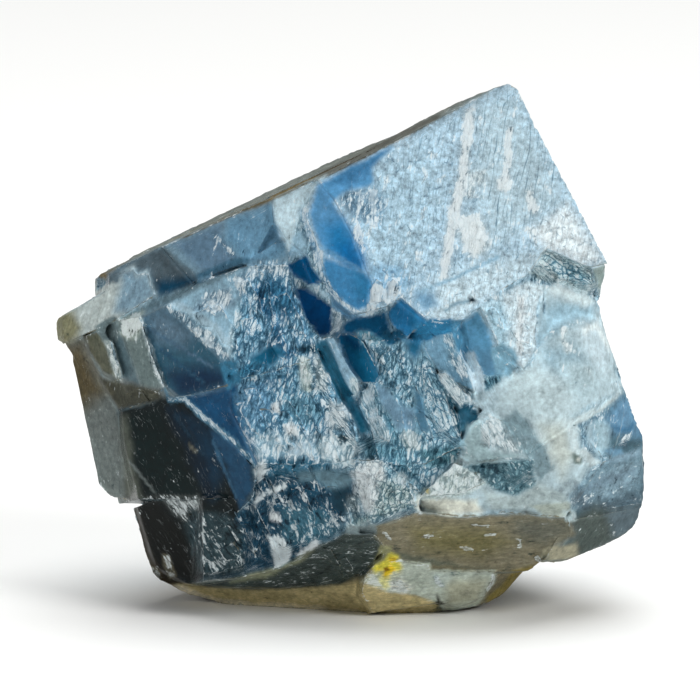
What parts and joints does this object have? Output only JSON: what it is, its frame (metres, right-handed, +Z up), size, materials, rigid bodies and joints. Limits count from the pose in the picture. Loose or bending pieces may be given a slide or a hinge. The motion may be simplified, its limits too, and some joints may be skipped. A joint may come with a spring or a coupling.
{
  "type": "raw blue calcite",
  "caption": "Raw piece of blue calcite with stepped cleavage faces, a splintered front and a weathered underside, resting on a small flat.",
  "frame": {"origin": "centre of the bounding box in plan, on the resting plane", "axes": "+Z up from the resting plane, +X to the right along the stone's greatest width, -Y out of the great cleavage face"},
  "size_m": [0.08, 0.0512, 0.074],
  "materials": {
    "calcite": "translucent blue crystal, frosted where bruised"
  },
  "bodies": {
    "root": {"calcite": "calcite"}
  },
  "joints": []
}
